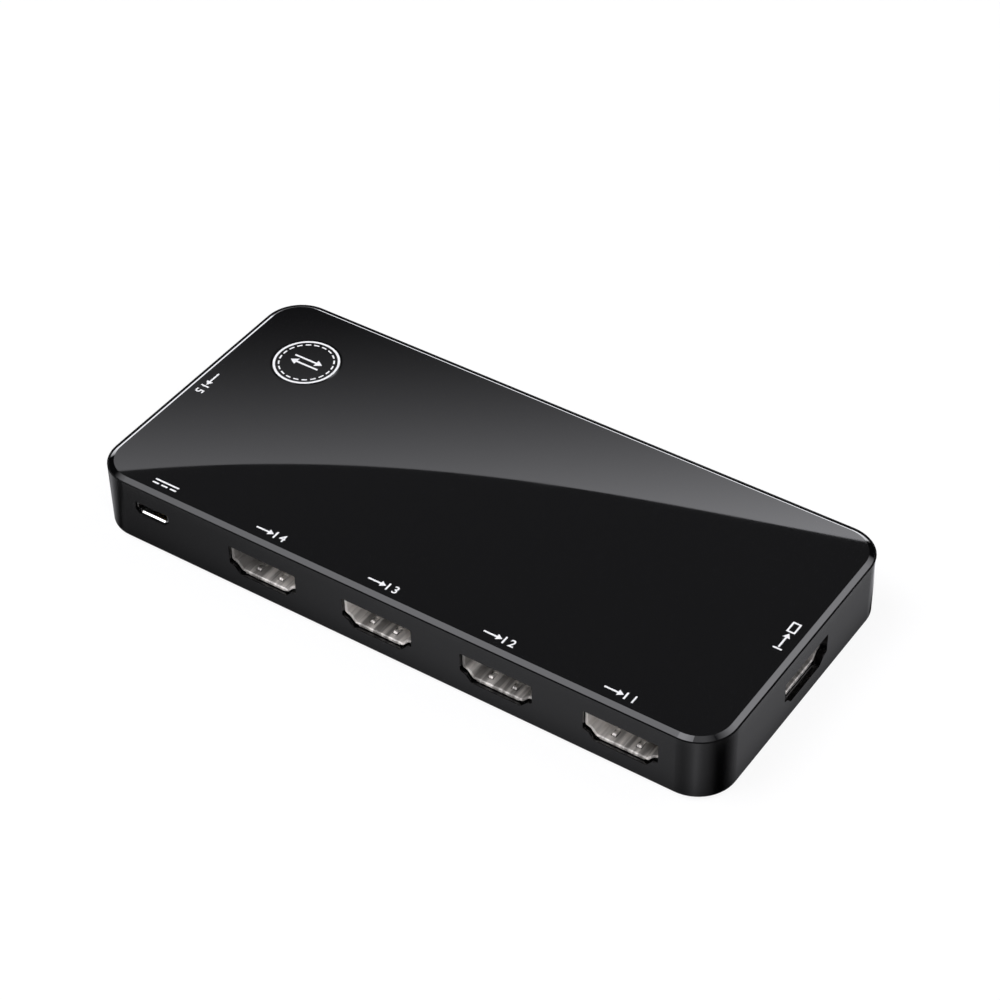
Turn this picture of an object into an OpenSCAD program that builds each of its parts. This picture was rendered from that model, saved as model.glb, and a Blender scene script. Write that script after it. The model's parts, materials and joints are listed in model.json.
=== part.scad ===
// Video switch box with a push key on top, five input sockets, one output socket and a power socket.
// Millimetres, +Z up. The front wall faces -Y, the feet stand on z = 0.

/* [Body] */
// Outer length along X
body_l = 134; // [132:1:146]
// Outer width along Y
body_w = 62; // [60:1:72]
// Height of the side walls
wall_h = 13.2; // [13:0.1:14.5]
// Radius of the upright corners
corner_r = 7.6; // [7:0.1:9]
// Thickness of the side walls
wall_t = 1.3; // [1.2:0.1:1.6]
// Rounding of the lower outer edge
edge_r = 0.4; // [0.2:0.1:0.6]
// Thickness of the deck under the top panel
deck_t = 1.3; // [1.2:0.1:1.5]

/* [Top panel] */
// Thickness of the panel
panel_t = 1.2; // [1.1:0.1:1.4]
// Height of the panel above the walls
panel_proud = 0.5; // [0.4:0.05:0.6]
// Width of the bevel around the panel
bevel_w = 0.92; // [0.7:0.02:1.2]
// Height of the bevel around the panel
bevel_h = 0.55; // [0.5:0.05:0.65]
// Width of the rim that the walls leave around the panel
rim_w = 0.32; // [0.28:0.02:0.5]
// Gap between the rim and the panel
panel_gap = 0.07; // [0.05:0.01:0.15]
// Thickness of the adhesive sheet under the panel
adhesive_t = 0.1; // [0.08:0.01:0.2]

/* [Bottom cover] */
// Thickness of the cover
cover_t = 1.6; // [1.5:0.1:2]
// Gap between the cover and the walls
cover_gap = 0.15; // [0.1:0.05:0.3]
// Radius of a rubber foot
foot_r = 4; // [3:0.1:5]
// Thickness of a rubber foot
foot_t = 1.1; // [1:0.1:1.3]
// How far a foot stands below the walls
foot_drop = 0.4; // [0.3:0.1:0.6]
// Gap around a foot in its recess
foot_gap = 0.1; // [0.05:0.05:0.2]
// Distance of a foot from the ends of the body
foot_in_x = 18; // [17:1:30]
// Distance of a foot from the sides of the body
foot_in_y = 11; // [10:1:16]

/* [Screws] */
// Radius of a screw's shank
screw_r = 1; // [0.8:0.1:1.1]
// Radius of a screw's head
head_r = 1.9; // [1.7:0.1:2]
// Height of a screw's head
head_h = 0.9; // [0.8:0.1:1]
// Radius of the posts that take the screws
post_r = 2.4; // [2.2:0.1:2.6]
// Gap between a shank and the bore it is driven into
screw_fit = 0.02; // [0.01:0.01:0.05]
// Gap between a screw and the hole it passes through
screw_gap = 0.15; // [0.1:0.05:0.2]
// Distance of a cover screw from the outer walls
screw_in = 7.4; // [7.2:0.1:8]
// Length of a cover screw's shank
cover_screw_l = 5.5; // [4.5:0.1:5.8]
// Length of a board screw's shank
board_screw_l = 4.2; // [3.6:0.1:4.3]
// Gap between a screw's tip and the bottom of its bore
tip_gap = 0.3; // [0.2:0.1:0.5]
// Distance of the front board screws behind the sockets
post_behind = 6; // [5:0.1:7]
// Distance of the rear board screws from the back
post_in_y = 7; // [6.5:0.1:8]

/* [Video sockets] */
// Distance of the first input from the right end
first_in = 18.4; // [18:0.1:19]
// Place of the end sockets along Y
end_socket_y = 0.5; // [-2:0.5:2]
// Height of a socket's centre above the walls' lower edge
socket_h = 6.725; // [6.7:0.025:6.9]
// Width of a socket's mouth
mouth_w = 14; // [13.9:0.05:14.1]
// Height of a socket's mouth
mouth_h = 4.55; // [4.5:0.05:4.6]
// Width of the mouth's lower edge
mouth_base = 9.9; // [9.6:0.1:10.1]
// Height of the mouth's upright sides
mouth_side = 2.9; // [2.7:0.1:3]
// Width of the mouth's shoulders
shoulder_w = 0.95; // [0.8:0.05:1.1]
// Drop of the mouth's shoulders
shoulder_h = 0.35; // [0.3:0.05:0.4]
// Thickness of a socket's steel shell
shell_t = 0.4; // [0.3:0.05:0.45]
// Depth of a socket's shell
shell_l = 12; // [11.5:0.1:12.5]
// Width of the lead-in around a socket's mouth
lead_in = 0.2; // [0.15:0.05:0.25]
// Depth of the lip under a socket's mouth
lip_l = 0.6; // [0.5:0.1:0.8]
// Thickness of the lip under a socket's mouth
lip_t = 0.25; // [0.2:0.05:0.3]
// How far the front sockets sit behind the front wall's face
front_recess = 0.7; // [0.4:0.1:0.8]
// Gap between the end walls and their sockets
end_gap = 0.1; // [0.1:0.05:0.3]
// Gap beside a shell in its opening
port_side_gap = 0.1; // [0.1:0.05:0.25]
// Gap above a shell in its opening
port_top_gap = 0.1; // [0.1:0.05:0.2]
// Gap below a shell in its opening
port_base_gap = 0.5; // [0.45:0.05:0.7]
// Place of a floor spring beside the middle
spring_x = 2.5; // [2:0.1:3]
// Width of a floor spring
spring_w = 0.8; // [0.6:0.05:1]
// Length of the slot around a floor spring
spring_l = 1.9; // [1.7:0.1:2.4]
// Height of a floor spring above the floor
spring_h = 0.3; // [0.2:0.02:0.4]
// Gap around a floor spring
spring_gap = 0.2; // [0.2:0.05:0.4]
// Distance between neighbouring contacts
contact_pitch = 1; // [0.9:0.05:1.05]
// Width of the tongue that carries the contacts
tongue_w = 11; // [10.6:0.1:11.4]

/* [Power socket] */
// Distance of the power socket from the left end
power_in = 14.1; // [14:0.1:16]
// Width of the power socket's mouth
power_w = 6.9; // [6.8:0.1:7]
// Height of the power socket's mouth
power_h = 1.85; // [1.8:0.05:1.9]
// Width of the mouth's lower edge
power_base = 5.4; // [5.2:0.1:5.6]
// Thickness of the power socket's shell
power_t = 0.25; // [0.2:0.05:0.3]
// Depth of the power socket's shell
power_l = 5.2; // [5:0.1:5.6]
// How far the power socket sits behind the front wall's face
power_recess = 0.4; // [0.3:0.1:0.7]
// Depth of the lead-in on the power socket's floor
power_lead_l = 0.32; // [0.3:0.02:0.8]
// Height of the lead-in on the power socket's floor
power_lead_h = 0.18; // [0.12:0.02:0.18]
// Gap around the shell in its opening
power_gap = 0.2; // [0.15:0.05:0.25]

/* [Key] */
// Distance of the key from the left end
key_in_x = 15.5; // [15:0.1:18]
// Distance of the key from the back
key_in_y = 15.8; // [15:0.1:17]
// Radius of the key
key_r = 6.8; // [6:0.1:7.2]
// Gap around the key
key_gap = 0.15; // [0.1:0.05:0.2]
// How far the key travels
key_travel = 0.4; // [0.2:0.05:0.4]
// Width of the flange that keeps the key in
flange_w = 1; // [0.8:0.1:1.2]
// Thickness of that flange
flange_t = 0.65; // [0.5:0.05:0.7]
// Radius of the key's stem
stem_r = 2.5; // [2:0.1:2.8]
// Side of the push switch under the key
switch_side = 6; // [5.8:0.1:6.2]
// Height of the push switch with its plunger
switch_h = 2.5; // [2.4:0.05:2.6]

/* [Circuit board] */
// Thickness of the board
board_t = 1.6; // [1.2:0.1:1.6]
// Gap between the board and the walls
board_gap = 0.7; // [0.5:0.1:0.9]
// Height of the board's upper face above the sockets' centre
board_rise = 0.575; // [0.4:0.025:0.6]
// Gap between the board and a socket or post let into it
notch_gap = 0.25; // [0.2:0.05:0.4]
// Side of the switch chip
switch_chip_side = 14; // [12:0.5:15]
// Length of the control chip
control_chip_l = 9.9; // [9.5:0.1:10.3]
// Length of the receiver chip
receiver_chip_l = 4.9; // [4.7:0.1:5.1]
// Width of the control chip and the receiver chip
legged_w = 3.9; // [3.8:0.05:4]
// Distance between neighbouring chip legs
leg_pitch = 1.27; // [1:0.01:1.3]
// Place of a lamp beside the middle of its socket
lamp_x = 6; // [5:0.1:6]
// Distance of a lamp behind its socket
lamp_behind = 4; // [3.5:0.1:4.5]
// Radius of a lamp's light hole in the deck
lamp_hole_r = 1; // [0.8:0.1:1.1]

/* [Hidden] */
$fn = 64;
eps = 0.01;

// Heights from the floor up
z_wall = foot_drop;
z_cover = z_wall + cover_t;
z_rim = z_wall + wall_h;
z_top = z_rim + panel_proud;
z_panel = z_top - panel_t;
z_seat = z_panel - adhesive_t;
z_deck = z_seat - deck_t;
z_socket = z_wall + socket_h;
z_board = z_socket + board_rise;
z_power = z_board + power_t + power_h / 2;
head_sink = 0.1;
cover_head_z = z_wall + head_h + head_sink;

// The panel's inset from the walls' outer face
panel_in = rim_w + panel_gap;

// Key and push switch
key_x = -body_l / 2 + key_in_x;
key_y = body_w / 2 - key_in_y;
key_z = z_panel - flange_t;
well_r = key_r + flange_w + key_gap;
well_z = key_z - key_travel - key_gap;
key_post_t = 1;
stem_z = z_board + switch_h;
case_h = switch_h - 0.8;
plate_t = 0.2;
cavity_z = 0.4;
plunger_r = 1.75;
plunger_low = cavity_z + key_travel + 0.12;
dome_t = 0.1;

// Sockets: name, place of the mouth, turn and recess behind the wall
front_y = -body_w / 2 + front_recess;
first_x = body_l / 2 - first_in;
power_x = -body_l / 2 + power_in;
power_y = -body_w / 2 + power_recess;
socket_pitch = (first_x - power_x) / 4;
end_recess = wall_t + end_gap;
end_x = body_l / 2 - end_recess;
SOCKETS = [
  ["input_1", [first_x, front_y], 0, front_recess],
  ["input_2", [first_x - socket_pitch, front_y], 0, front_recess],
  ["input_3", [first_x - 2 * socket_pitch, front_y], 0, front_recess],
  ["input_4", [first_x - 3 * socket_pitch, front_y], 0, front_recess],
  ["input_5", [-end_x, end_socket_y], -90, end_recess],
  ["output", [end_x, end_socket_y], 90, end_recess]
];

// Screw places
cover_screw_at = [for (x = [-1, 1], y = [-1, 1]) [x * (body_l / 2 - screw_in), y * (body_w / 2 - screw_in)]];
board_screw_at = [for (k = [0.5, 2.5], y = [front_y + shell_l + post_behind, body_w / 2 - post_in_y])
  [first_x - k * socket_pitch, y]];
foot_at = [for (x = [-1, 1], y = [-1, 1]) [x * (body_l / 2 - foot_in_x), y * (body_w / 2 - foot_in_y)]];

// A place on the board, as shares of the body's length and width
function on_board(fx, fy) = [fx * body_l, fy * body_w, z_board];
switch_chip_at = on_board(0.06, 0.05);

// Sizes of the small parts on the board
leg_size = [0.42, 0.8, 0.6];
legged_h = 1.4;
switch_chip_h = 1.1;
package_lift = 0.1;
antenna_size = [9, 3, 1.2];
regulator_size = [6.5, 3.5, 1.6];
regulator_leg = [0.8, 1.6, 0.5];
regulator_tab = [3, 1.6, 0.5];
regulator_pitch = 2.3;
crystal_size = [6.4, 4.6, 3.2];
small_capacitor = [2, 1.25, 0.9];
large_capacitor = [2.8, 3.5, 1.9];
resistor_size = [1.6, 0.8, 0.5];
resistor_pitch = 2.6;
protector_size = [5, 3, 0.9];
lamp_size = [2, 1.25, 0.8];

// Outlines in the X-Z plane of a socket, counter-clockwise
function unit(v) = v / norm(v);
function at(pts, i) = pts[(i + len(pts)) % len(pts)];

// Each edge of an outline moved outward by g
function grown(pts, g) = [for (i = [0:len(pts) - 1])
  let (d1 = unit(pts[i] - at(pts, i - 1)), d2 = unit(at(pts, i + 1) - pts[i]))
  let (n1 = [d1[1], -d1[0]], n2 = [d2[1], -d2[0]])
  pts[i] + g * (n1 + n2) / (1 + n1 * n2)];

// Each corner of an outline made an arc of radius r
function softened(pts, r, n = 3) = [for (i = [0:len(pts) - 1])
  let (a = unit(at(pts, i - 1) - pts[i]), b = unit(at(pts, i + 1) - pts[i]))
  let (half = acos(a * b) / 2, c = pts[i] + unit(a + b) * r / sin(half))
  let (v0 = pts[i] + a * r / tan(half) - c, v1 = pts[i] + b * r / tan(half) - c, turn = 180 - 2 * half)
  each [for (k = [0:n]) c + (v0 * sin((1 - k / n) * turn) + v1 * sin(k / n * turn)) / sin(turn)]];

function both_sides(right) = concat(right, [for (i = [len(right) - 1:-1:0]) [-right[i][0], right[i][1]]]);

side_z = mouth_h / 2 - mouth_side;
mouth_pts = both_sides([
  [mouth_base / 2, -mouth_h / 2],
  [mouth_w / 2 - shoulder_w, side_z - shoulder_h],
  [mouth_w / 2, side_z],
  [mouth_w / 2, mouth_h / 2]
]);
port_pts = [for (p = grown(mouth_pts, shell_t + port_side_gap))
  [p[0], p[1] > 0 ? mouth_h / 2 + shell_t + port_top_gap : p[1] - port_base_gap + port_side_gap]];
power_pts = both_sides([
  [power_base / 2, -power_h / 2],
  [power_w / 2, -power_h / 2 + 0.75],
  [power_w / 2, power_h / 2]
]);

// Socket tongue and contacts, measured from the mouth
tongue_y = 3.75;
block_y = shell_l - 2.8;
tongue_top = 0.85;
tongue_low = -0.75;
strip_t = 0.15;
strip_w = 0.34;
strip_gap = 0.02;
strip_y = tongue_y + 0.15;
tail_y = shell_l + notch_gap + 0.1;
tail_end = tail_y + 1;
upper_strip = [
  [strip_y, tongue_top], [tail_y, tongue_top], [tail_y, board_rise], [tail_end, board_rise],
  [tail_end, board_rise + strip_t], [tail_y + strip_t, board_rise + strip_t],
  [tail_y + strip_t, tongue_top + strip_t], [strip_y, tongue_top + strip_t]
];
rise_y = block_y + 1.4;
lower_strip = [
  [strip_y, tongue_low - strip_t], [rise_y, tongue_low - strip_t], [rise_y, board_rise], [tail_end, board_rise],
  [tail_end, board_rise + strip_t], [rise_y - strip_t, board_rise + strip_t],
  [rise_y - strip_t, tongue_low], [strip_y, tongue_low]
];

// A floor spring from its root at the slot's back end to its raised front end
spring_y = 1.2;
spring_root = spring_y + spring_l + 0.2;
spring_pts = [
  [spring_y + 0.2, -shell_t / 2], [spring_root, -0.75 * shell_t], [spring_root, -0.25 * shell_t],
  [spring_y + 1.1, -0.1], [spring_y + 0.8, spring_h], [spring_y + 0.45, spring_h], [spring_y + 0.2, 0]
];

// Tabs that hold a shell on the board
tab_size = [1.6, 2, shell_t];
tab_out = 0.7;
tab_y = [2.6, shell_l - 3];

// Power socket's tongue and contacts
power_tongue_y = 1.2;
power_block_y = power_l - 1.6;
power_tongue_z = 0.05;
power_tongue_t = 0.55;
power_tongue_w = 3.7;
power_floor = -power_h / 2 - power_t;
power_pitch = 0.65;
power_strip_w = 0.3;
power_strip_t = 0.12;
power_strip_y = power_tongue_y + 0.1;
power_strip_z = power_tongue_z - power_strip_t;
power_tail_y = power_l + 0.15;
power_tail_end = power_tail_y + 0.8;
power_tail_top = power_floor + power_strip_t;
power_strip = [
  [power_strip_y, power_strip_z], [power_tail_y, power_strip_z], [power_tail_y, power_floor],
  [power_tail_end, power_floor], [power_tail_end, power_tail_top],
  [power_tail_y + power_strip_t, power_tail_top], [power_tail_y + power_strip_t, power_tongue_z],
  [power_strip_y, power_tongue_z]
];

// A rounded plate
module plate(l, w, r, z0, z1) {
  translate([-l / 2 + r, -w / 2, z0]) cube([l - 2 * r, w, z1 - z0]);
  translate([-l / 2, -w / 2 + r, z0]) cube([l, w - 2 * r, z1 - z0]);
  for (x = [-1, 1], y = [-1, 1])
    translate([x * (l / 2 - r), y * (w / 2 - r), z0]) cylinder(r = r, h = z1 - z0);
}

// A profile of [inset, height] points carried around a rounded rectangle
module carried_around(l, w, r, pts) {
  for (y = [0, 1]) mirror([0, y, 0]) {
    translate([-l / 2 + r, 0, 0]) rotate([90, 0, 90]) linear_extrude(l - 2 * r)
      polygon([for (p = pts) [-w / 2 + p[0], p[1]]]);
    for (x = [0, 1]) mirror([x, 0, 0])
      translate([l / 2 - r, w / 2 - r, 0]) rotate_extrude(angle = 90)
        polygon([for (p = pts) [r - p[0], p[1]]]);
  }
  for (x = [0, 1]) mirror([x, 0, 0])
    translate([0, w / 2 - r, 0]) rotate([90, 0, 0]) linear_extrude(w - 2 * r)
      polygon([for (p = pts) [l / 2 - p[0], p[1]]]);
}

// An outline in X-Z pushed back from y0 to y1
module bar(pts, y0, y1) {
  translate([0, y1, 0]) rotate([90, 0, 0]) linear_extrude(y1 - y0) polygon(pts);
}

// A profile in Y-Z made w wide along X
module strip(pts, w) {
  translate([-w / 2, 0, 0]) rotate([90, 0, 90]) linear_extrude(w) polygon(pts);
}

// A wedge that widens an opening from its floor at depth l to h below it at the mouth, w wide
module floor_wedge(l, h, w) {
  strip([[-l, -2 * h], [l, 0], [l, 0.1], [-l, 0.1]], w);
}

// Wedges along all edges of an opening's outline
module edge_wedges(pts, size) {
  for (i = [0:len(pts) - 1]) let (a = pts[i], b = pts[(i + 1) % len(pts)], d = b - a)
    translate([(a[0] + b[0]) / 2, 0, (a[1] + b[1]) / 2]) rotate([0, -atan2(d[1], d[0]), 0])
      floor_wedge(size, size, norm(d) + size);
}

module block(x, y, z, size) {
  translate([x - size[0] / 2, y - size[1] / 2, z]) cube(size);
}

module at_socket(s) {
  translate([s[1][0], s[1][1], z_socket]) rotate([0, 0, s[2]]) children();
}

module at_power() {
  translate([power_x, power_y, z_power]) children();
}

module at_places(places, z = 0) {
  for (p = places) translate([p[0], p[1], z]) children();
}

module at_lamps() {
  for (i = [0:4]) at_socket(SOCKETS[i]) translate([lamp_x, shell_l + lamp_behind, 0]) children();
}

// Housing with deck, posts and openings
module housing() {
  color("#141414") difference() {
    union() {
      carried_around(body_l, body_w, corner_r, [
        for (k = [0:6]) [edge_r * (1 - sin(k * 15)), z_wall + edge_r * (1 - cos(k * 15))],
        [0, z_rim], [rim_w, z_rim], [rim_w, z_seat], [wall_t, z_seat], [wall_t, z_wall]
      ]);
      plate(body_l - 2 * rim_w - 1, body_w - 2 * rim_w - 1, corner_r - rim_w - 0.5, z_deck, z_seat);
      at_places(cover_screw_at, z_cover) cylinder(r = post_r, h = z_deck - z_cover + eps);
      at_places(board_screw_at, z_board) cylinder(r = post_r, h = z_deck - z_board + eps);
      translate([key_x, key_y, well_z - key_post_t]) cylinder(r = well_r + 1, h = z_seat - well_z + key_post_t);
    }
    at_places(cover_screw_at, z_cover - 1)
      cylinder(r = screw_r + screw_fit, h = 1 + cover_head_z + cover_screw_l + tip_gap - z_cover);
    at_places(board_screw_at, z_board - 1)
      cylinder(r = screw_r + screw_fit, h = 1 + board_screw_l + tip_gap - board_t);
    translate([key_x, key_y, well_z]) cylinder(r = well_r, h = 5);
    translate([key_x, key_y, 0]) cylinder(r = stem_r + key_gap, h = z_top);
    for (s = SOCKETS) at_socket(s) bar(softened(port_pts, 0.3), -s[3] - 1, wall_t - s[3] + 0.4);
    at_power()
      bar(softened(grown(power_pts, power_t + power_gap), 0.25), -power_recess - 1, wall_t - power_recess + 0.4);
    at_lamps() cylinder(r = lamp_hole_r, h = z_top);
  }
}

// Bevelled panel let into the top of the walls
module top_panel() {
  l = body_l - 2 * panel_in;
  w = body_w - 2 * panel_in;
  r = corner_r - panel_in;
  color("#0c0c0e") difference() {
    union() {
      carried_around(l, w, r, [
        [0, z_panel], [0, z_top - bevel_h], [bevel_w, z_top], [4, z_top], [4, z_panel]
      ]);
      plate(l - 6, w - 6, r - 3, z_panel, z_top);
    }
    translate([key_x, key_y, z_panel - 1]) cylinder(r = key_r + key_gap, h = panel_t + 2);
  }
}

// Adhesive sheet between deck and panel
module panel_adhesive() {
  color("#3a3a3a") difference() {
    plate(body_l - 2 * panel_in - 2, body_w - 2 * panel_in - 2, corner_r - panel_in - 1, z_seat, z_panel);
    translate([key_x, key_y, z_seat - 1]) cylinder(r = well_r, h = 3);
    at_lamps() cylinder(r = lamp_hole_r + 0.2, h = z_top);
  }
}

// Cover that closes the housing from below
module bottom_cover() {
  inset = wall_t + cover_gap;
  color("#161616") difference() {
    plate(body_l - 2 * inset, body_w - 2 * inset, corner_r - inset, z_wall, z_cover);
    at_places(cover_screw_at, z_wall - 1) cylinder(r = head_r + screw_gap, h = 1 + cover_head_z - z_wall);
    at_places(cover_screw_at, z_wall - 1) cylinder(r = screw_r + screw_gap, h = cover_t + 2);
    at_places(foot_at, z_wall - 1) cylinder(r = foot_r + foot_gap, h = 1 + foot_t - foot_drop);
  }
}

// Rubber feet with a bevelled lower edge
module rubber_feet() {
  color("#222222") at_places(foot_at) rotate_extrude()
    polygon([[0, 0], [foot_r - 0.25, 0], [foot_r, 0.25], [foot_r, foot_t], [0, foot_t]]);
}

// A screw with its head below z = 0 and a cross recess
module screw(l) {
  difference() {
    rotate_extrude() polygon([
      [0, -head_h], [head_r - 0.3, -head_h], [head_r, -head_h + 0.3], [head_r, 0], [screw_r, 0],
      [screw_r, l - 0.6], [0.4, l], [0, l]
    ]);
    for (t = [0, 90]) rotate([0, 0, t]) translate([-1.1, -0.2, -head_h - 1]) cube([2.2, 0.4, 1.5]);
  }
}

module cover_screws() {
  color("#9a9a9a") at_places(cover_screw_at, cover_head_z) screw(cover_screw_l);
}

module board_screws() {
  color("#a5a5a5") at_places(board_screw_at, z_board - board_t) screw(board_screw_l);
}

// Circuit board with notches for the sockets
module circuit_board() {
  inset = wall_t + board_gap;
  half = mouth_w / 2 + shell_t + notch_gap;
  color("#12512c") difference() {
    plate(body_l - 2 * inset, body_w - 2 * inset, corner_r - inset, z_board - board_t, z_board);
    for (s = SOCKETS) at_socket(s) translate([-half, -3, -5]) cube([2 * half, shell_l + notch_gap + 3, 10]);
    at_places(cover_screw_at) cylinder(r = post_r + notch_gap, h = z_top);
    at_places(board_screw_at) cylinder(r = screw_r + screw_gap, h = z_top);
  }
}

// Key: a flush disc with a flange below the panel and a stem
module key_cap() {
  color("#0e0e10") translate([key_x, key_y, 0]) rotate_extrude() polygon([
    [0, stem_z], [stem_r, stem_z], [stem_r, key_z], [key_r + flange_w, key_z],
    [key_r + flange_w, z_panel], [key_r, z_panel], [key_r, z_top - 0.12], [key_r - 0.12, z_top], [0, z_top]
  ]);
}

// Push switch: base with a round cavity
module key_switch_base() {
  color("#1b1b1b") translate([key_x, key_y, z_board]) difference() {
    block(0, 0, 0, [switch_side, switch_side, case_h]);
    translate([0, 0, cavity_z]) cylinder(r = 2.3, h = 4);
  }
}

// Push switch: steel plate over the base
module key_switch_plate() {
  color("#c4c4c4") translate([key_x, key_y, z_board + case_h]) difference() {
    block(0, 0, 0, [switch_side, switch_side, plate_t]);
    translate([0, 0, -1]) cylinder(r = plunger_r + 0.1, h = 3);
  }
}

// Push switch: plunger with a collar under the plate
module key_switch_plunger() {
  color("#3c3c3c") translate([key_x, key_y, z_board]) rotate_extrude() polygon([
    [0, plunger_low], [1.2, plunger_low], [1.2, plunger_low + 0.2], [2.15, plunger_low + 0.2],
    [2.15, case_h], [plunger_r, case_h], [plunger_r, switch_h], [0, switch_h]
  ]);
}

// Push switch: domed steel spring
module key_switch_dome() {
  rise = plunger_low - cavity_z - dome_t;
  curve = [for (k = [0:8]) [2.2 * k / 8, rise * (1 - pow(k / 8, 2))]];
  color("#d0c8b0") translate([key_x, key_y, z_board + cavity_z]) rotate_extrude()
    polygon(concat(curve, [for (k = [8:-1:0]) [curve[k][0], curve[k][1] + dome_t]]));
}

// Video socket: steel shell with a lip, two floor springs and four board tabs
module socket_shell() {
  floor_z = -mouth_h / 2;
  side = mouth_w / 2 + shell_t;
  slot_w = spring_w + 2 * spring_gap;
  color("#b9b6b0") {
    difference() {
      union() {
        bar(softened(grown(mouth_pts, shell_t), 0.6), 0, shell_l);
        block(0, lip_l / 2, floor_z - shell_t - lip_t, [mouth_base - 1, lip_l, lip_t + shell_t / 2]);
        for (x = [-1, 1], y = tab_y)
          translate([x * (side + tab_out) - tab_size[0] / 2, y, board_rise]) cube(tab_size);
      }
      bar(softened(mouth_pts, 0.3), -1, shell_l + 1);
      edge_wedges(mouth_pts, lead_in);
      for (x = [-1, 1]) block(x * spring_x, spring_y + spring_l / 2, floor_z - 1, [slot_w, spring_l, 2]);
    }
    for (x = [-1, 1]) translate([x * spring_x, 0, floor_z]) strip(spring_pts, spring_w);
  }
}

// Where the contacts lie: ten over the tongue, nine under it
module contact_rows(gap) {
  for (i = [0:9]) translate([(i - 4.5) * contact_pitch, 0, 0])
    strip(grown(upper_strip, gap), strip_w + 2 * gap);
  for (i = [0:8]) translate([(i - 4) * contact_pitch, 0, 0])
    strip(grown(lower_strip, gap), strip_w + 2 * gap);
}

// Video socket: insulator with its tongue
module socket_insulator() {
  color("#202020") difference() {
    union() {
      bar(softened(grown(mouth_pts, -0.05), 0.3), block_y, shell_l);
      translate([-tongue_w / 2, tongue_y, tongue_low])
        cube([tongue_w, block_y - tongue_y + 0.5, tongue_top - tongue_low]);
    }
    contact_rows(strip_gap);
  }
}

module socket_contacts() {
  color("#c9a227") contact_rows(0);
}

// Power socket: steel shell
module power_shell() {
  side = power_w / 2 + power_t;
  color("#bdbab4") difference() {
    union() {
      bar(softened(grown(power_pts, power_t), 0.4), 0, power_l);
      for (x = [-1, 1]) translate([x * (side + 0.3) - 0.8, 2.4, power_floor]) cube([1.6, 1.8, power_t]);
    }
    bar(softened(power_pts, 0.25), -1, power_l + 1);
    translate([0, 0, -power_h / 2]) floor_wedge(power_lead_l, power_lead_h, power_base);
  }
}

module power_strips(gap) {
  for (i = [-2:2]) translate([i * power_pitch, 0, 0]) strip(grown(power_strip, gap), power_strip_w + 2 * gap);
}

// Power socket: insulator with its tongue
module power_insulator() {
  color("#1e1e1e") difference() {
    union() {
      bar(softened(grown(power_pts, -0.04), 0.25), power_block_y, power_l);
      translate([-power_tongue_w / 2, power_tongue_y, power_tongue_z])
        cube([power_tongue_w, power_block_y - power_tongue_y + 0.3, power_tongue_t]);
    }
    power_strips(strip_gap);
  }
}

module power_contacts() {
  color("#c9a227") power_strips(0);
}

// A flat package with a marked corner
module package(size) {
  difference() {
    block(0, 0, 0, size);
    translate([-size[0] / 2 + 0.9, size[1] / 2 - 0.9, size[2] - 0.1]) cylinder(r = 0.4, h = 1);
  }
}

// A package with a row of legs along each long side
module legged_package(size, legs) {
  translate([0, 0, package_lift]) package(size);
  for (y = [-1, 1], i = [0:legs - 1])
    block((i - (legs - 1) / 2) * leg_pitch, y * (size[1] + leg_size[1]) / 2, 0, leg_size);
}

module switch_chip() {
  color("#1d1d1f") translate(switch_chip_at) package([switch_chip_side, switch_chip_side, switch_chip_h]);
}

module control_chip() {
  color("#1d1d1f") translate(on_board(-0.18, 0.05)) legged_package([control_chip_l, legged_w, legged_h], 7);
}

module receiver_chip() {
  color("#1d1d1f") translate(on_board(0.19, 0.26)) legged_package([receiver_chip_l, legged_w, legged_h], 3);
}

module chip_antenna() {
  color("#e8e4da") translate(on_board(0.35, 0.26)) block(0, 0, 0, antenna_size);
}

// Regulator behind the power socket, with three legs and a cooling tab
module voltage_regulator() {
  leg_y = (regulator_size[1] + regulator_leg[1]) / 2;
  color("#1d1d1f") translate([power_x + 2, front_y + power_l + 9, z_board]) {
    translate([0, 0, package_lift]) block(0, 0, 0, regulator_size);
    for (i = [-1:1]) block(i * regulator_pitch, -leg_y, 0, regulator_leg);
    block(0, leg_y, 0, regulator_tab);
  }
}

// Flat oval can of the timing crystal
module timing_crystal() {
  color("#cfcfcf") translate(on_board(-0.04, 0.26)) {
    block(0, 0, 0, crystal_size);
    for (x = [-1, 1]) translate([x * crystal_size[0] / 2, 0, 0])
      cylinder(d = crystal_size[1], h = crystal_size[2]);
  }
}

// Small capacitors around the switch chip and two large ones behind the power socket
module capacitors() {
  out = switch_chip_side / 2 + 2;
  color("#b98b4a") {
    translate(switch_chip_at) {
      for (x = [-1:1], y = [-1, 1]) block(x * (out - 4), y * out, 0, small_capacitor);
      for (y = [-1, 1], x = [-1, 1]) translate([x * out, y * (out - 5), 0]) rotate([0, 0, 90])
        block(0, 0, 0, small_capacitor);
    }
    for (i = [0, 1]) block(power_x + 8.5 + 5 * i, front_y + power_l + 11.5, z_board, large_capacitor);
  }
}

module resistors() {
  color("#26262a") {
    for (i = [0:5]) translate(on_board(-0.25, 0.18)) block(resistor_pitch * i, 0, 0, resistor_size);
    for (i = [0:3]) translate(on_board(0.16, 0.15)) block(resistor_pitch * i, 0, 0, resistor_size);
  }
}

// One surge protector behind each video socket
module protection_chips() {
  color("#1d1d1f") for (s = SOCKETS) at_socket(s) block(-1.5, shell_l + 4.2, board_rise, protector_size);
}

// One indicator lamp behind each input
module status_lamps() {
  color("#f2efe2") at_lamps() block(0, 0, board_rise, lamp_size);
}

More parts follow.
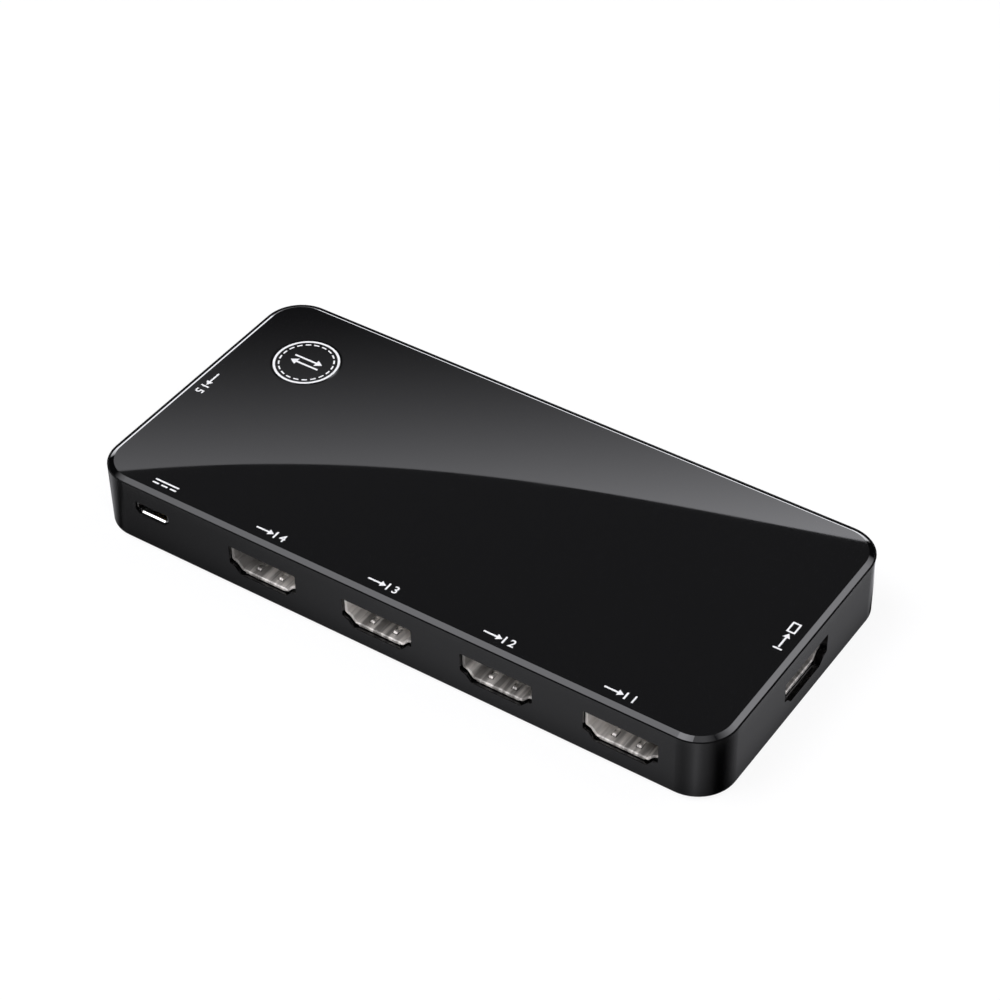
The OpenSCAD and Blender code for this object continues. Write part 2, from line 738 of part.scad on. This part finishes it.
PLAIN = [
  "housing", "top_panel", "panel_adhesive", "bottom_cover", "rubber_feet", "cover_screws",
  "circuit_board", "board_screws", "key_cap", "key_switch_base", "key_switch_plate",
  "key_switch_plunger", "key_switch_dome", "power_shell", "power_insulator", "power_contacts",
  "switch_chip", "control_chip", "receiver_chip", "chip_antenna", "voltage_regulator",
  "timing_crystal", "capacitors", "resistors", "protection_chips", "status_lamps"
];

housing();
top_panel();
panel_adhesive();
bottom_cover();
rubber_feet();
cover_screws();
circuit_board();
board_screws();
key_cap();
key_switch_base();
key_switch_plate();
key_switch_plunger();
key_switch_dome();
at_power() power_shell();
at_power() power_insulator();
at_power() power_contacts();
switch_chip();
control_chip();
receiver_chip();
chip_antenna();
voltage_regulator();
timing_crystal();
capacitors();
resistors();
protection_chips();
status_lamps();
for (s = SOCKETS) {
  at_socket(s) socket_shell();
  at_socket(s) socket_insulator();
  at_socket(s) socket_contacts();
}
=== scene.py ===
# %% [markdown]
# # A video switch box, dressed in Blender
#
# The object is a flat black box with a glossy bevelled panel on top, a round push key, and a row of
# sockets let into its walls. The solid shapes come in as a finished frame, so this file adds what the
# solids lack: the camera, a studio, finishes worked out with shader nodes, and the printed marks.

# %% Load the frame
import json
import bpy
import numpy as np
from mathutils import Matrix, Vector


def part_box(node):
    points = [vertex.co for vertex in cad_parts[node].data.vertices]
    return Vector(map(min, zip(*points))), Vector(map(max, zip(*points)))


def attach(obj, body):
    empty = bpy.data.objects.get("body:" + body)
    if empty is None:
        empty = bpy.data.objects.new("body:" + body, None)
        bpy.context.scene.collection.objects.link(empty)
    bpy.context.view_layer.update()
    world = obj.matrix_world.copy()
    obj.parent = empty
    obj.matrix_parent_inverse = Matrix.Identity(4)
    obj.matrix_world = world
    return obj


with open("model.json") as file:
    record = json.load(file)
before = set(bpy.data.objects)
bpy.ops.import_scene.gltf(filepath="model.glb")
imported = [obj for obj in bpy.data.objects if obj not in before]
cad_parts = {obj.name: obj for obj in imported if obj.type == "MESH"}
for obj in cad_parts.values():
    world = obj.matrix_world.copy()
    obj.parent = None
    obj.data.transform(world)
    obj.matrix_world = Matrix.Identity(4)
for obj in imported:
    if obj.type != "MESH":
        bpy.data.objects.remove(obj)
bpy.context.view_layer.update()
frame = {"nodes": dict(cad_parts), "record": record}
nodes = frame["nodes"]
MM = 0.001
wall_low, wall_high = (np.array(c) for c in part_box("housing"))
key_low, key_high = (np.array(c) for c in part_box("key_cap"))
top_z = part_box("top_panel")[1][2]
half_l, half_w = wall_high[:2] / MM
corner_r = 7.6
key_x, key_y = (key_low[:2] + key_high[:2]) / 2 / MM
print("nodes", len(nodes), "panel at", round(top_z / MM, 2), "mm, key at", np.round([key_x, key_y], 2))

# %% [markdown]
# ## Camera
#
# The view is from the front right, looking down by about forty degrees through a long lens, so the box's
# edges hardly run together. A camera's own axes are right, up and back, and the three make its rotation.

# %% Camera at the picture's angle
def camera_axes(turn, rise, tilt):
    """Right, up and back of a camera turned round +Z, raised and tilted about its own axis, in degrees."""
    a, e, t = np.radians([turn, rise, tilt])
    back = np.array([np.sin(a) * np.cos(e), -np.cos(a) * np.cos(e), np.sin(e)])
    right = np.array([np.cos(a), np.sin(a), 0.0])
    up = np.cross(back, right)
    return np.array([right * np.cos(t) + up * np.sin(t), -right * np.sin(t) + up * np.cos(t), back])


def posed(axes, spot):
    """A world matrix from three unit axes and a place."""
    pose = np.eye(4)
    pose[:3, :3] = np.array(axes).T
    pose[:3, 3] = spot
    return Matrix(pose.tolist())


axes = camera_axes(34.45, 41.65, -1.05)
eye = axes.T @ np.array([2.779, 10.741, 516.4]) * MM + np.array([0, 0, wall_low[2]])
lens = bpy.data.cameras.new("camera")
lens.sensor_width = 36
lens.lens = 100.508
lens.clip_start = 0.01
camera = bpy.data.objects.new("camera", lens)
camera.matrix_world = posed(axes, eye)
bpy.context.collection.objects.link(camera)
bpy.context.scene.camera = camera
bpy.context.scene.view_settings.view_transform = "Standard"
print("eye at", np.round(eye / MM, 1), "mm")

# %% [markdown]
# ## Helpers
#
# Every new piece is a grid of points worked out as whole arrays. One helper gives a grid's faces, one makes
# the object, and two start a material.

# %% Mesh and material helpers
def grid_faces(rows, cols, close=False):
    """Quads of a grid of points, counted row by row; close joins the last column to the first."""
    r = np.arange(rows - 1)[:, None]
    c = np.arange(cols if close else cols - 1)[None, :]
    n = (c + 1) % cols
    return np.stack([r * cols + c, r * cols + n, (r + 1) * cols + n, (r + 1) * cols + c], -1).reshape(-1, 4)


def mesh_object(name, points, faces, material, smooth=True):
    """An object at the origin with these points and faces, in metres."""
    mesh = bpy.data.meshes.new(name)
    points = np.asarray(points, float).reshape(-1, 3)
    mesh.from_pydata(points.tolist(), [], [list(map(int, f)) for f in faces])
    mesh.polygons.foreach_set("use_smooth", np.full(len(mesh.polygons), smooth))
    mesh.update()
    mesh.materials.append(material)
    obj = bpy.data.objects.new(name, mesh)
    bpy.context.collection.objects.link(obj)
    return obj


def shader(name):
    """A new material with an empty node tree and its output node."""
    mat = bpy.data.materials.new(name)
    mat.use_nodes = True
    tree = mat.node_tree
    tree.nodes.clear()
    return mat, tree, tree.nodes.new("ShaderNodeOutputMaterial")


def add(tree, kind, values=None, **attributes):
    """A node of that kind, with its attributes set by name and its inputs by name or number."""
    node = tree.nodes.new(kind)
    for name, value in attributes.items():
        setattr(node, name, value)
    for socket, value in (values or {}).items():
        node.inputs[socket].default_value = value
    return node


print("helpers ready")

# %% [markdown]
# ## Studio
#
# The box stands on a white sweep: a floor that curves up into a low wall all round, so no horizon shows.
# The paper is part plain diffuse, which keeps the soft shadow, and part its own white, which the camera
# sees almost pure and mirrors see more faintly.

# %% White sweep
def sweep_material(seen=0.84, mirrored=0.35):
    """White paper: diffuse mixed with glow, by one share for camera rays and one for mirrored rays."""
    mat, tree, out = shader("white_paper")
    paper = add(tree, "ShaderNodeBsdfDiffuse", {"Color": (0.9, 0.9, 0.9, 1)})
    glow = add(tree, "ShaderNodeEmission", {"Color": (1, 1, 1, 1), "Strength": 1.04})
    path = add(tree, "ShaderNodeLightPath")
    direct = add(tree, "ShaderNodeMath", {1: seen}, operation="MULTIPLY")
    either = add(tree, "ShaderNodeMath", operation="MAXIMUM")
    share = add(tree, "ShaderNodeMath", {1: mirrored}, operation="MULTIPLY_ADD")
    mix = add(tree, "ShaderNodeMixShader")
    link = tree.links.new
    link(path.outputs["Is Camera Ray"], direct.inputs[0])
    link(path.outputs["Is Glossy Ray"], either.inputs[0])
    link(path.outputs["Is Transmission Ray"], either.inputs[1])
    link(either.outputs[0], share.inputs[0])
    link(direct.outputs[0], share.inputs[2])
    link(share.outputs[0], mix.inputs[0])
    link(paper.outputs[0], mix.inputs[1])
    link(glow.outputs[0], mix.inputs[2])
    link(mix.outputs[0], out.inputs[0])
    return mat


def spun(radius, height, steps=96):
    """A profile of radii and heights in metres, carried once round Z."""
    turn = np.linspace(0, 2 * np.pi, steps, endpoint=False)
    radius, height = np.asarray(radius)[:, None], np.asarray(height)[:, None]
    return np.stack([radius * np.cos(turn), radius * np.sin(turn), height + 0 * turn], -1)


bend = np.linspace(0, np.pi / 2, 17)
points = spun(np.r_[0.0, 0.2, 0.6, 1.0, 1.4 + 0.6 * np.sin(bend), 2.0],
              np.r_[0.0, 0.0, 0.0, 0.0, 0.6 - 0.6 * np.cos(bend), 1.6])
mesh_object("white_sweep", points, grid_faces(*points.shape[:2], close=True), sweep_material())
world = bpy.data.worlds.new("studio_air")
world.use_nodes = True
world.node_tree.nodes["Background"].inputs["Color"].default_value = (1, 1, 1, 1)
world.node_tree.nodes["Background"].inputs["Strength"].default_value = 0.09
bpy.context.scene.world = world
print("sweep of", points.shape[:2], "points")

# %% [markdown]
# Three soft boxes light the object, at a level where white ink comes out just white: one over the left end,
# one at the back, and one that fills the sockets from the camera's right. What the gloss mirrors are cards.

# %% Soft boxes
COOL = (0.985, 0.985, 1.03)


def facing(direction):
    """Side, up and back axes of a flat thing that faces the origin from a direction."""
    back = np.array(direction, float) / np.linalg.norm(direction)
    side = np.cross([0, 0, 1], back)
    side /= np.linalg.norm(side)
    return np.array([side, np.cross(back, side), back])


def soft_box(name, direction, distance, size, radiance):
    """An area lamp facing the box; its power is the radiance times four times its area."""
    data = bpy.data.lights.new(name, "AREA")
    data.shape = "RECTANGLE"
    data.size, data.size_y = size
    data.energy = radiance * 4 * size[0] * size[1]
    data.color = COOL
    lamp = bpy.data.objects.new(name, data)
    lamp_axes = facing(direction)
    lamp.matrix_world = posed(lamp_axes, lamp_axes[2] * distance)
    lamp.visible_camera = lamp.visible_glossy = False
    bpy.context.collection.objects.link(lamp)
    return lamp


lamps = [
    soft_box("box_over_left", (-0.39, -0.29, 0.871), 0.9, (0.70, 0.66), 3.4),
    soft_box("box_back_right", (0.48, 0.54, 0.70), 0.9, (0.6, 0.58), 2.1),
    soft_box("box_camera_side", (0.62, -0.66, 0.50), 1.0, (0.6, 0.5), 2.6),
]
print(len(lamps), "soft boxes")

# %% [markdown]
# ## Cards for the gloss
#
# A black glossy object shows what stands around it more than its own colour. So the studio also has cards
# that only mirrored rays see. The panel mirrors two of them, a pale one that fades and a dim one, which
# meet on a curve. They lie level, so a point of the panel and the point of a card that it mirrors lie on
# one line through the camera's foot, stretched by a fixed factor.

# %% Cards mirrored by the panel
def glow_material():
    """Glow of the level that the mesh holds at each point."""
    mat, tree, out = shader("card_glow")
    glow = add(tree, "ShaderNodeEmission", {"Color": (*COOL, 1)})
    level = add(tree, "ShaderNodeAttribute", attribute_name="level")
    tree.links.new(level.outputs["Fac"], glow.inputs["Strength"])
    tree.links.new(glow.outputs[0], out.inputs[0])
    return mat


def gloss_card(name, points, level, close=False):
    """A part of the stage that only mirrored rays see: a grid of points with a glow level for each."""
    points = np.asarray(points, float)
    level = level + np.zeros(points.shape[:2])
    obj = mesh_object(name, points, grid_faces(*level.shape, close), card_glow)
    obj.data.attributes.new("level", "FLOAT", "POINT").data.foreach_set("value", level.ravel())
    for ray in ("camera", "diffuse", "transmission", "volume_scatter", "shadow"):
        setattr(obj, "visible_" + ray, False)


def mirrored_rows(low, high, rows, rise=0.5):
    """Panel points in mm between two curves, and the points of a card above that they mirror."""
    y = low + np.linspace(0, 1, rows)[:, None] * (high - low)
    x = across + 0 * y
    stretch = (eye[2] - top_z + rise) / (eye[2] - top_z)
    flat = eye[:2] + (np.stack([x, y], -1) * MM - eye[:2]) * stretch
    return x, y, np.concatenate([flat, np.full((*x.shape, 1), top_z + rise)], -1)


card_glow = glow_material()
across = np.linspace(-66.4, 66.4, 81)
bulge = np.maximum(abs(across) - (half_l - corner_r), 0)
far = half_w - corner_r + np.sqrt((corner_r - 0.5) ** 2 - bulge ** 2)
edge = np.clip(7.88 + 0.406 * across - 0.00227 * across ** 2 + 0.0000156 * across ** 3, -far, far)
x, y, points = mirrored_rows(edge, far, 13)
gloss_card("pale_card", points, (0.40 + 0.0096 * (x + 60) - 0.0138 * (y - 28)) ** 3)
gloss_card("dim_card", mirrored_rows(-far, edge, 3)[2], 0.12)
print("panel cards meet at y", np.round(edge[::20], 1))

# %% [markdown]
# The upright walls mirror a strip of floor only some 15 mm wide. A card there gives them their tones: it is
# dimmer towards the left end and close to the walls, and pale and dark bands run round the corners. A wall
# point and the floor point it mirrors share one ray: down the wall by its height, and out along the view's
# direction turned about the wall's normal.

# %% Card mirrored by the walls
def bump(x, centre, width):
    """A smooth hill of height one."""
    return np.exp(-((x - centre) / width) ** 2)


def ramp(x, start, end):
    """Nought before the start, one after the end, with an even S between them."""
    t = np.clip((x - start) / (end - start), 0, 1)
    return t * t * (3 - 2 * t)


def outline():
    """Points in mm, normals and their angles round the walls, from the left front to the far right."""
    turn = np.concatenate([np.linspace(-56, 0, 29), np.zeros(41), np.linspace(0, 90, 61), np.full(21, 90.0),
                           np.linspace(90, 124, 18)])
    x = np.concatenate([np.full(29, -1.0), np.linspace(-1, 1, 41), np.ones(100)]) * (half_l - corner_r)
    y = np.concatenate([np.full(131, -1.0), np.linspace(-1, 1, 21), np.ones(18)]) * (half_w - corner_r)
    normal = np.stack([np.sin(np.radians(turn)), -np.cos(np.radians(turn))], -1)
    return np.stack([x, y], -1) + corner_r * normal, normal, turn


def mirrored_floor(height):
    """Floor points in metres that the wall's points mirror at each of these heights in mm."""
    floor = spot + away * (height / (eye[2] / MM - height))[..., None]
    return np.concatenate([floor, np.full((*floor.shape[:2], 1), 0.05)], -1) * MM


spot, normal, turn = outline()
view = eye[:2] / MM - spot
away = 2 * (view * normal).sum(-1)[:, None] * normal - view
height = np.array([0.3, 1, 2, 3.5, 5.5, 8, 11, 15])[:, None]
lean = turn + 0.9 * (11.3 - height)
left = 0.30 * bump(lean, -27.5, 9) - 0.165 * bump(lean, -7, 5.5) - 0.055 * ramp(-lean, 28, 40)
near = 0.34 * bump(turn, 27.5, 5.5) - 0.185 * bump(turn, 10, 8)
level = (0.19 + 0.265 * ramp(spot[:, 0], -70, 30)) * (1 - ramp(turn, 32, 58)) + 0.37 * ramp(turn, 62, 96)
level = level + np.where(turn < 0, left, 0) + np.where(turn > 0, near, 0) + 0.2 * ramp(turn, 91, 99)
shade = 1 - 0.52 * np.exp(-(height / 4.6) ** 1.4) - 0.75 * ramp(turn, 93, 103) * (1 - ramp(height, 2, 11))
glint = 1.6 * ramp(turn, 98, 108) * ramp(height, 6, 12)
gloss_card("floor_card", mirrored_floor(height), np.maximum(level * shade, 0) + glint)
print("floor card for", len(turn), "places round the walls")

# %% [markdown]
# The two far bevels look towards the floor at the back and the left, and stand out as white lines: a card
# behind and one at the left end give those. Cards that face the box give what the near bevels and the
# sockets' lips mirror, each with a glow that changes across it, and a dark dome behind them all keeps the
# corners black.

# %% Cards for bevels and lips
def rows_card(name, rows):
    """A card through rows of two end points in mm, each with the row's glow level after them."""
    ends = np.array([row[:2] for row in rows]) * MM
    gloss_card(name, ends, np.array([row[2] for row in rows])[:, None])


def facing_card(name, direction, distance, low, high, level):
    """A card that faces the box, between two corners in metres; its glow is a number or goes by place."""
    side, up, back = facing(direction)
    u, v = np.meshgrid(np.linspace(low[0], high[0], 41), np.linspace(low[1], high[1], 13))
    glow = level(u, v) if callable(level) else level
    gloss_card(name, back * distance + side * u[..., None] + up * v[..., None], glow)


def over_left(u, v):
    """Fades in from the left, and a brighter band near the right edge fades a little again."""
    return 3.6 * ramp(u, -0.38, 0.06) + 2.1 * ramp(u, 0.14, 0.16) * (1 - 0.7 * ramp(u, 0.22, 0.34))


left_rows = [(-108, 0.3, 0.4), (-126, 0.3, 4.0), (-180, 0.3, 4.2), (-180, 17, 3.0), (-180, 24, 1.6),
             (-180, 27, 0.0)]
back_rows = [(-84, 68, 62, 0.3, 0.8), (-88, 66, 71, 0.3, 3.3), (-170, 42, 250, 0.3, 3.3),
             (-170, 42, 250, 17, 3.3)]
rows_card("left_card", [((x, -12, z), (x, 125, z), glow) for x, z, glow in left_rows])
rows_card("back_card", [((x0, y, z), (x1, y, z), glow) for x0, x1, y, z, glow in back_rows])
facing_card("over_left_card", (-0.39, -0.29, 0.871), 0.87, (-0.40, -0.45), (0.338, 0.40), over_left)
facing_card("right_card", (0.48, 0.54, 0.70), 0.87, (-0.38, -0.42), (0.34, 0.42),
            lambda u, v: np.maximum(4.2 * (1 - (abs(u + 0.02) / 0.36) ** 1.4), 0))
facing_card("over_card", (0.16, -0.07, 0.985), 1.07, (-0.42, -0.5), (0.48, 0.3),
            lambda u, v: 1.25 - 0.9 * ramp(u, -0.1, 0.28))
facing_card("front_card", (-0.42, -0.70, 0.577), 0.8, (-0.25, -0.28), (0.25, 0.2),
            lambda u, v: 3.0 - 2.55 * ramp(v, -0.14, 0.0))
facing_card("low_card", (0.70, 0.634, 0.31), 0.8, (-0.15, -0.1), (0.15, 0.1), 1.6)
facing_card("corner_card", (-0.58, 0.70, 0.41), 0.8, (-0.18, -0.1), (0.18, 0.1), 2.5)
gloss_card("dark_dome", spun([1.3, 1.3, 0.0], [0.02, 1.15, 1.15]), 0.0, close=True)
print("cards for bevels and lips ready")

# %% [markdown]
# ## Finishes
#
# Effects that several finishes share are node groups: a fine moulded grain that also varies the gloss, and
# streaks in sheet steel, partly what rolling leaves and partly painted reflection of the dark and pale
# bands that the sockets' shells mirror.

# %% Shared effects
def effect(name, inputs, outputs):
    """An empty shader node group with named sockets and its two end nodes."""
    group = bpy.data.node_groups.new(name, "ShaderNodeTree")
    for label, kind, value in inputs:
        socket = group.interface.new_socket(label, in_out="INPUT", socket_type="NodeSocket" + kind)
        socket.default_value = value
    for label, kind in outputs:
        group.interface.new_socket(label, in_out="OUTPUT", socket_type="NodeSocket" + kind)
    return group, group.nodes.new("NodeGroupInput"), group.nodes.new("NodeGroupOutput")


def grain_group():
    """Noise at a given scale gives a height, and coarser noise shifts a roughness about its middle."""
    sockets = [("Scale", "Float", 9000.0), ("Roughness", "Float", 0.35), ("Spread", "Float", 0.05)]
    group, ins, outs = effect("moulded_grain", sockets, [("Height", "Float"), ("Roughness", "Float")])
    coords = add(group, "ShaderNodeTexCoord")
    fine = add(group, "ShaderNodeTexNoise", {"Detail": 2.0})
    coarse = add(group, "ShaderNodeTexNoise", {"Scale": 120.0})
    centre = add(group, "ShaderNodeMath", {1: 0.5}, operation="SUBTRACT")
    shift = add(group, "ShaderNodeMath", operation="MULTIPLY_ADD")
    link = group.links.new
    link(coords.outputs["Object"], fine.inputs["Vector"])
    link(coords.outputs["Object"], coarse.inputs["Vector"])
    link(ins.outputs["Scale"], fine.inputs["Scale"])
    link(coarse.outputs[0], centre.inputs[0])
    link(centre.outputs[0], shift.inputs[0])
    link(ins.outputs["Spread"], shift.inputs[1])
    link(ins.outputs["Roughness"], shift.inputs[2])
    link(fine.outputs[0], outs.inputs["Height"])
    link(shift.outputs[0], outs.inputs["Roughness"])
    return group


def streak_group():
    """Noise squeezed along the streaks blends a dark tone into a pale one; partly rolling marks, partly
    painted reflection.
    """
    sockets = [("Squeeze", "Vector", (1, 1, 1)), ("Dark", "Color", (0.3, 0.3, 0.3, 1)),
               ("Pale", "Color", (0.7, 0.7, 0.7, 1))]
    group, ins, outs = effect("rolled_streaks_and_painted_reflections", sockets, [("Color", "Color")])
    coords = add(group, "ShaderNodeTexCoord")
    squeeze = add(group, "ShaderNodeVectorMath", operation="MULTIPLY")
    noise = add(group, "ShaderNodeTexNoise", {"Scale": 1.0, "Detail": 3.0, "Roughness": 0.6})
    blend = add(group, "ShaderNodeMapRange", {1: 0.42, 2: 0.58})
    tone = add(group, "ShaderNodeMix", data_type="RGBA")
    link = group.links.new
    link(coords.outputs["Object"], squeeze.inputs[0])
    link(ins.outputs["Squeeze"], squeeze.inputs[1])
    link(squeeze.outputs[0], noise.inputs["Vector"])
    link(noise.outputs[0], blend.inputs[0])
    link(blend.outputs[0], tone.inputs["Factor"])
    link(ins.outputs["Dark"], tone.inputs[6])
    link(ins.outputs["Pale"], tone.inputs[7])
    link(tone.outputs[2], outs.inputs["Color"])
    return group


grain, streaks = grain_group(), streak_group()
print("effects", grain.name, "and", streaks.name)

# %% [markdown]
# The finishes here are one recipe with other numbers: a base colour, a gloss that varies a little with the
# grain, and a small bump. The plain numbers sit on the shader itself. Sheet steel takes its colour from the
# streaks instead, which are partly painted reflection. The panel is polished black acrylic, nearly a
# mirror.

# %% Recipe for a finish
def finish(name, color, roughness, spread=0.05, metallic=0.0, specular=0.5, scale=9000.0, bump=0.05,
           squeeze=None):
    """A Principled material with grain in its roughness and bump, and streaks where a squeeze is given,
    partly painted reflection.
    """
    mat, tree, out = shader(name)
    values = {"Base Color": (*color, 1), "Metallic": metallic, "Specular IOR Level": specular}
    body = add(tree, "ShaderNodeBsdfPrincipled", values)
    texture = add(tree, "ShaderNodeGroup", node_tree=grain)
    for label, value in (("Scale", scale), ("Roughness", roughness), ("Spread", spread)):
        texture.inputs[label].default_value = value
    relief = add(tree, "ShaderNodeBump", {"Strength": bump, "Distance": 0.02 * MM})
    link = tree.links.new
    link(texture.outputs["Height"], relief.inputs["Height"])
    link(texture.outputs["Roughness"], body.inputs["Roughness"])
    link(relief.outputs[0], body.inputs["Normal"])
    if squeeze:
        lines = add(tree, "ShaderNodeGroup", node_tree=streaks)
        lines.inputs["Squeeze"].default_value = squeeze
        # painted reflection in part: the streaks' dark tone, 0.3 of the colour, stands for dark bands
        # mirrored in the shells
        lines.inputs["Dark"].default_value = (*(0.3 * c for c in color), 1)
        lines.inputs["Pale"].default_value = (*color, 1)
        link(lines.outputs["Color"], body.inputs["Base Color"])
    link(body.outputs[0], out.inputs[0])
    return mat


steel = (0.82, 0.78, 0.73)
finishes = {
    "body_plastic": finish("satin_black_plastic", (0.0014, 0.0014, 0.0015), 0.14, bump=0.01),
    "panel_gloss": finish("polished_acrylic", (0.003, 0.003, 0.0033), 0.012, spread=0.012, bump=0.0),
    "adhesive": finish("adhesive_film", (0.05, 0.05, 0.05), 0.6),
    "foot_rubber": finish("soft_rubber", (0.02, 0.02, 0.02), 0.75, specular=0.3, scale=5000, bump=0.2),
    "screw_steel": finish("nickel_steel", (0.60, 0.60, 0.60), 0.28, metallic=1.0, scale=4000),
    # the socket steel's streaks are partly painted reflection
    "socket_steel": finish("stamped_steel", steel, 0.30, metallic=0.35, scale=3000, squeeze=(500, 30, 30)),
    "insulator_black": finish("black_insulator", (0.02, 0.02, 0.021), 0.5, specular=0.3),
    "contact_gold": finish("gold_plate", (0.85, 0.62, 0.25), 0.22, metallic=1.0),
    "board_green": finish("solder_mask", (0.01, 0.09, 0.035), 0.35),
    "chip_black": finish("epoxy_package", (0.02, 0.02, 0.022), 0.55, specular=0.3),
    "ceramic_white": finish("pale_ceramic", (0.75, 0.73, 0.68), 0.45),
    "capacitor_tan": finish("tan_ceramic", (0.42, 0.26, 0.10), 0.45),
    "lamp_clear": finish("lamp_resin", (0.80, 0.78, 0.68), 0.2),
    "print_white": finish("white_ink", (0.86, 0.86, 0.86), 0.45, specular=0.3),
}
print(len(finishes), "finishes")

# %% [markdown]
# Four nodes differ from their slot's finish: the end sockets are dimmer, as painted shade for their shaded
# insides, and their streaks run along the box; the power socket is bright tin plate, and the bottom cover
# is coarser.

# %% Finishes on the nodes
# painted shade: the end sockets' steel is a darker copy of the socket steel, for their shaded insides
painted_shade_steel = [0.7 * c for c in steel]
end_steel_painted_shade = finish("stamped_steel_ends_painted_shade", painted_shade_steel, 0.30, metallic=0.5, scale=3000, squeeze=(30, 500, 30))
own_finish = {
    "input_5_shell": end_steel_painted_shade,
    "output_shell": end_steel_painted_shade,
    "power_shell": finish("tin_plate", (0.90, 0.89, 0.87), 0.14, metallic=1.0, bump=0.0),
    "bottom_cover": finish("eroded_black_plastic", (0.010, 0.010, 0.0105), 0.45, scale=5000, bump=0.15),
}
for row in frame["record"]["subparts"]:
    obj = nodes[row["node"]]
    if not obj.material_slots:
        obj.data.materials.append(None)
    obj.material_slots[0].material = own_finish.get(row["node"], finishes[row["material_slot"]])

# %% [markdown]
# ## Printed marks
#
# The white marks are ink, about a hundredth of a millimetre thick. Each is a set of flat outlines raised to
# a thin closed plate, so it catches light like print and can be seen from any side.

# %% Plates from outlines
INK = 0.012 * MM
LINE, SIGN = 0.36, 0.87
FRONT_Y = -27.5


def plate_from(outlines, height):
    """Points and faces of flat outlines raised by a height: each has a lid, a base and a wall."""
    points, faces, first = [], [], 0
    for line in outlines:
        line = np.asarray(line, float)
        n = len(line)
        points.append(np.concatenate([np.c_[line, np.zeros(n)], np.c_[line, np.full(n, height)]]))
        i = np.arange(n)
        j = (i + 1) % n
        faces += [list(first + n + i), list(first + i[::-1])]
        faces += (first + np.stack([i, j, n + j, n + i], -1)).tolist()
        first += 2 * n
    return np.concatenate(points), faces


def laid(points, x, y, turn, z):
    """Points turned about Z by degrees and moved to x, y, z."""
    a = np.radians(turn)
    spin = np.array([[np.cos(a), np.sin(a), 0], [-np.sin(a), np.cos(a), 0], [0, 0, 1]])
    return points @ spin + np.array([x, y, z])


def bar(x0, y0, x1, y1):
    """A rectangle between two corners."""
    return np.array([[x0, y0], [x1, y0], [x1, y1], [x0, y1]]) * MM


def frame_bars(x0, y0, x1, y1, line):
    """Four bars of one width that frame a rectangle."""
    return [bar(x0, y0, x1, y0 + line), bar(x0, y1 - line, x1, y1),
            bar(x0, y0 + line, x0 + line, y1 - line), bar(x1 - line, y0 + line, x1, y1 - line)]


def arrow(x0, x1, y, thick=LINE, head=1.15):
    """A level arrow from x0 to x1 with a triangular head; it may point either way."""
    d = 1 if x1 > x0 else -1
    neck = x1 - d * head
    half = np.array([[x0, thick / 2], [neck, thick / 2], [neck, head * 0.62], [x1, 0]])
    line = np.concatenate([half * [1, -1], half[-2::-1]]) + [0, y]
    return line[::d] * MM


def ring_piece(radius, width, start, end, steps):
    """A stretch of a flat ring: its outer edge one way and its inner edge back."""
    a = np.linspace(start, end, steps)
    edge = np.stack([np.cos(a), np.sin(a)], -1)
    return np.concatenate([edge * (radius + width / 2), edge[::-1] * (radius - width / 2)])


def digit_mesh(text, size, weight):
    """A digit in Blender's own plain font, made bolder by a weight, as a mesh of its filled outline."""
    data = bpy.data.curves.new("digit", "FONT")
    data.body = text
    data.size = size
    data.offset = weight
    data.extrude = INK / 2
    holder = bpy.data.objects.new("digit", data)
    bpy.context.collection.objects.link(holder)
    mesh = bpy.data.meshes.new_from_object(holder.evaluated_get(bpy.context.evaluated_depsgraph_get()))
    points = np.empty(len(mesh.vertices) * 3)
    mesh.vertices.foreach_get("co", points)
    faces = [list(p.vertices) for p in mesh.polygons]
    bpy.data.objects.remove(holder)
    bpy.data.meshes.remove(mesh)
    return points.reshape(-1, 3) + np.array([0, 0, INK / 2]), faces


def mark(name, outlines, x, y, turn, body, digit=None):
    """One printed mark on the panel's face, with a digit after its outlines if one is given."""
    points, faces = plate_from(outlines, INK)
    if digit:
        more, more_faces = digit_mesh(digit, 2.5 * MM, 0.04 * MM)
        faces = faces + [[i + len(points) for i in f] for f in more_faces]
        points = np.concatenate([points, more + np.array([1.9, -SIGN, 0]) * MM])
    points = laid(points, x * MM, y * MM, turn, top_z)
    obj = mesh_object(name, points, faces, finishes["print_white"], smooth=False)
    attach(obj, body)
    return obj


print("ink is", round(INK / MM, 3), "mm thick")

# %% Marks beside the sockets
input_sign = [arrow(-3.4, 0.45, 0), bar(0.7, -SIGN, 0.7 + LINE, SIGN)]
places = [(x, FRONT_Y, 0) for x in (46.6, 22.0, -2.6, -27.4)] + [(-63.5, -0.2, -90)]
for number, (x, y, turn) in enumerate(places, 1):
    mark(f"input_mark_{number}", input_sign, x, y, turn, "case", str(number))
screen = frame_bars(1.0, -SIGN, 3.7, SIGN, 0.34)
output_sign = [bar(-3.7, -SIGN, -3.7 + LINE, SIGN), arrow(-3.1, 0.7, 0)] + screen
mark("output_mark", output_sign, 63.2, -0.2, 90, "case")
power_sign = [bar(-2.7, 0.26, 2.7, 0.62)] + [bar(x, -0.62, x + 1.4, -0.26) for x in (-2.7, -0.7, 1.3)]
mark("power_mark", power_sign, -51.7, -27.6, 0, "case")
print("marks on the panel")

# %% Ring and arrows on the key
full_ring = [ring_piece(6.29 * MM, 0.46 * MM, a, a + np.pi / 2, 25) for a in np.arange(4) * np.pi / 2]
dashes = [ring_piece(5.36 * MM, 0.31 * MM, a - 0.1, a + 0.1, 6) for a in (np.arange(20) + 0.8) * np.pi / 10]
arrows = [arrow(-3.2, 3.2, 0.75, 0.42, 1.45), arrow(3.2, -3.2, -0.75, 0.42, 1.45)]
mark("key_print", full_ring + dashes + arrows, key_x, key_y, 180, "key")
print("key print of", len(full_ring) + len(dashes), "ring pieces")
